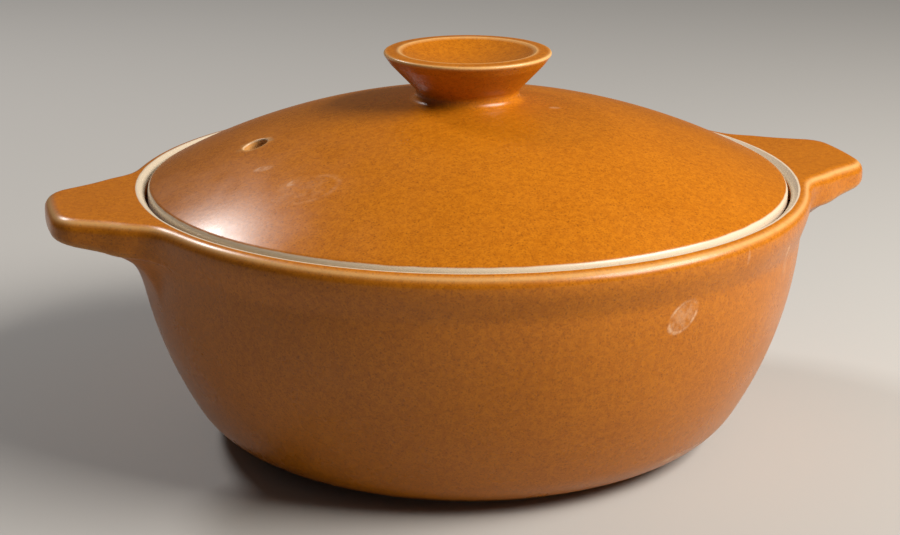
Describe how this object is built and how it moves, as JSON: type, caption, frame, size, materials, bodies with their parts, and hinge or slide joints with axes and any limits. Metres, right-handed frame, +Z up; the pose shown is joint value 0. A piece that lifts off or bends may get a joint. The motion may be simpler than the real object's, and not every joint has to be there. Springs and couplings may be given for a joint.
{
  "type": "covered vegetable dish",
  "caption": "Round stoneware dish with lug handles and a domed lid with a dished knob and a steam hole, for cooking and serving vegetables.",
  "frame": {"origin": "on the table, at the middle of the foot ring", "axes": "+Z up along the dish's axis, +X towards one handle; the steam hole is on the -X side"},
  "size_m": [0.277, 0.2262, 0.1275],
  "materials": {
    "dish_glaze": "satin brown glaze, cream inside",
    "lid_glaze": "satin brown glaze"
  },
  "bodies": {
    "root": {"dish": "dish_glaze", "lid": "lid_glaze"}
  },
  "joints": []
}
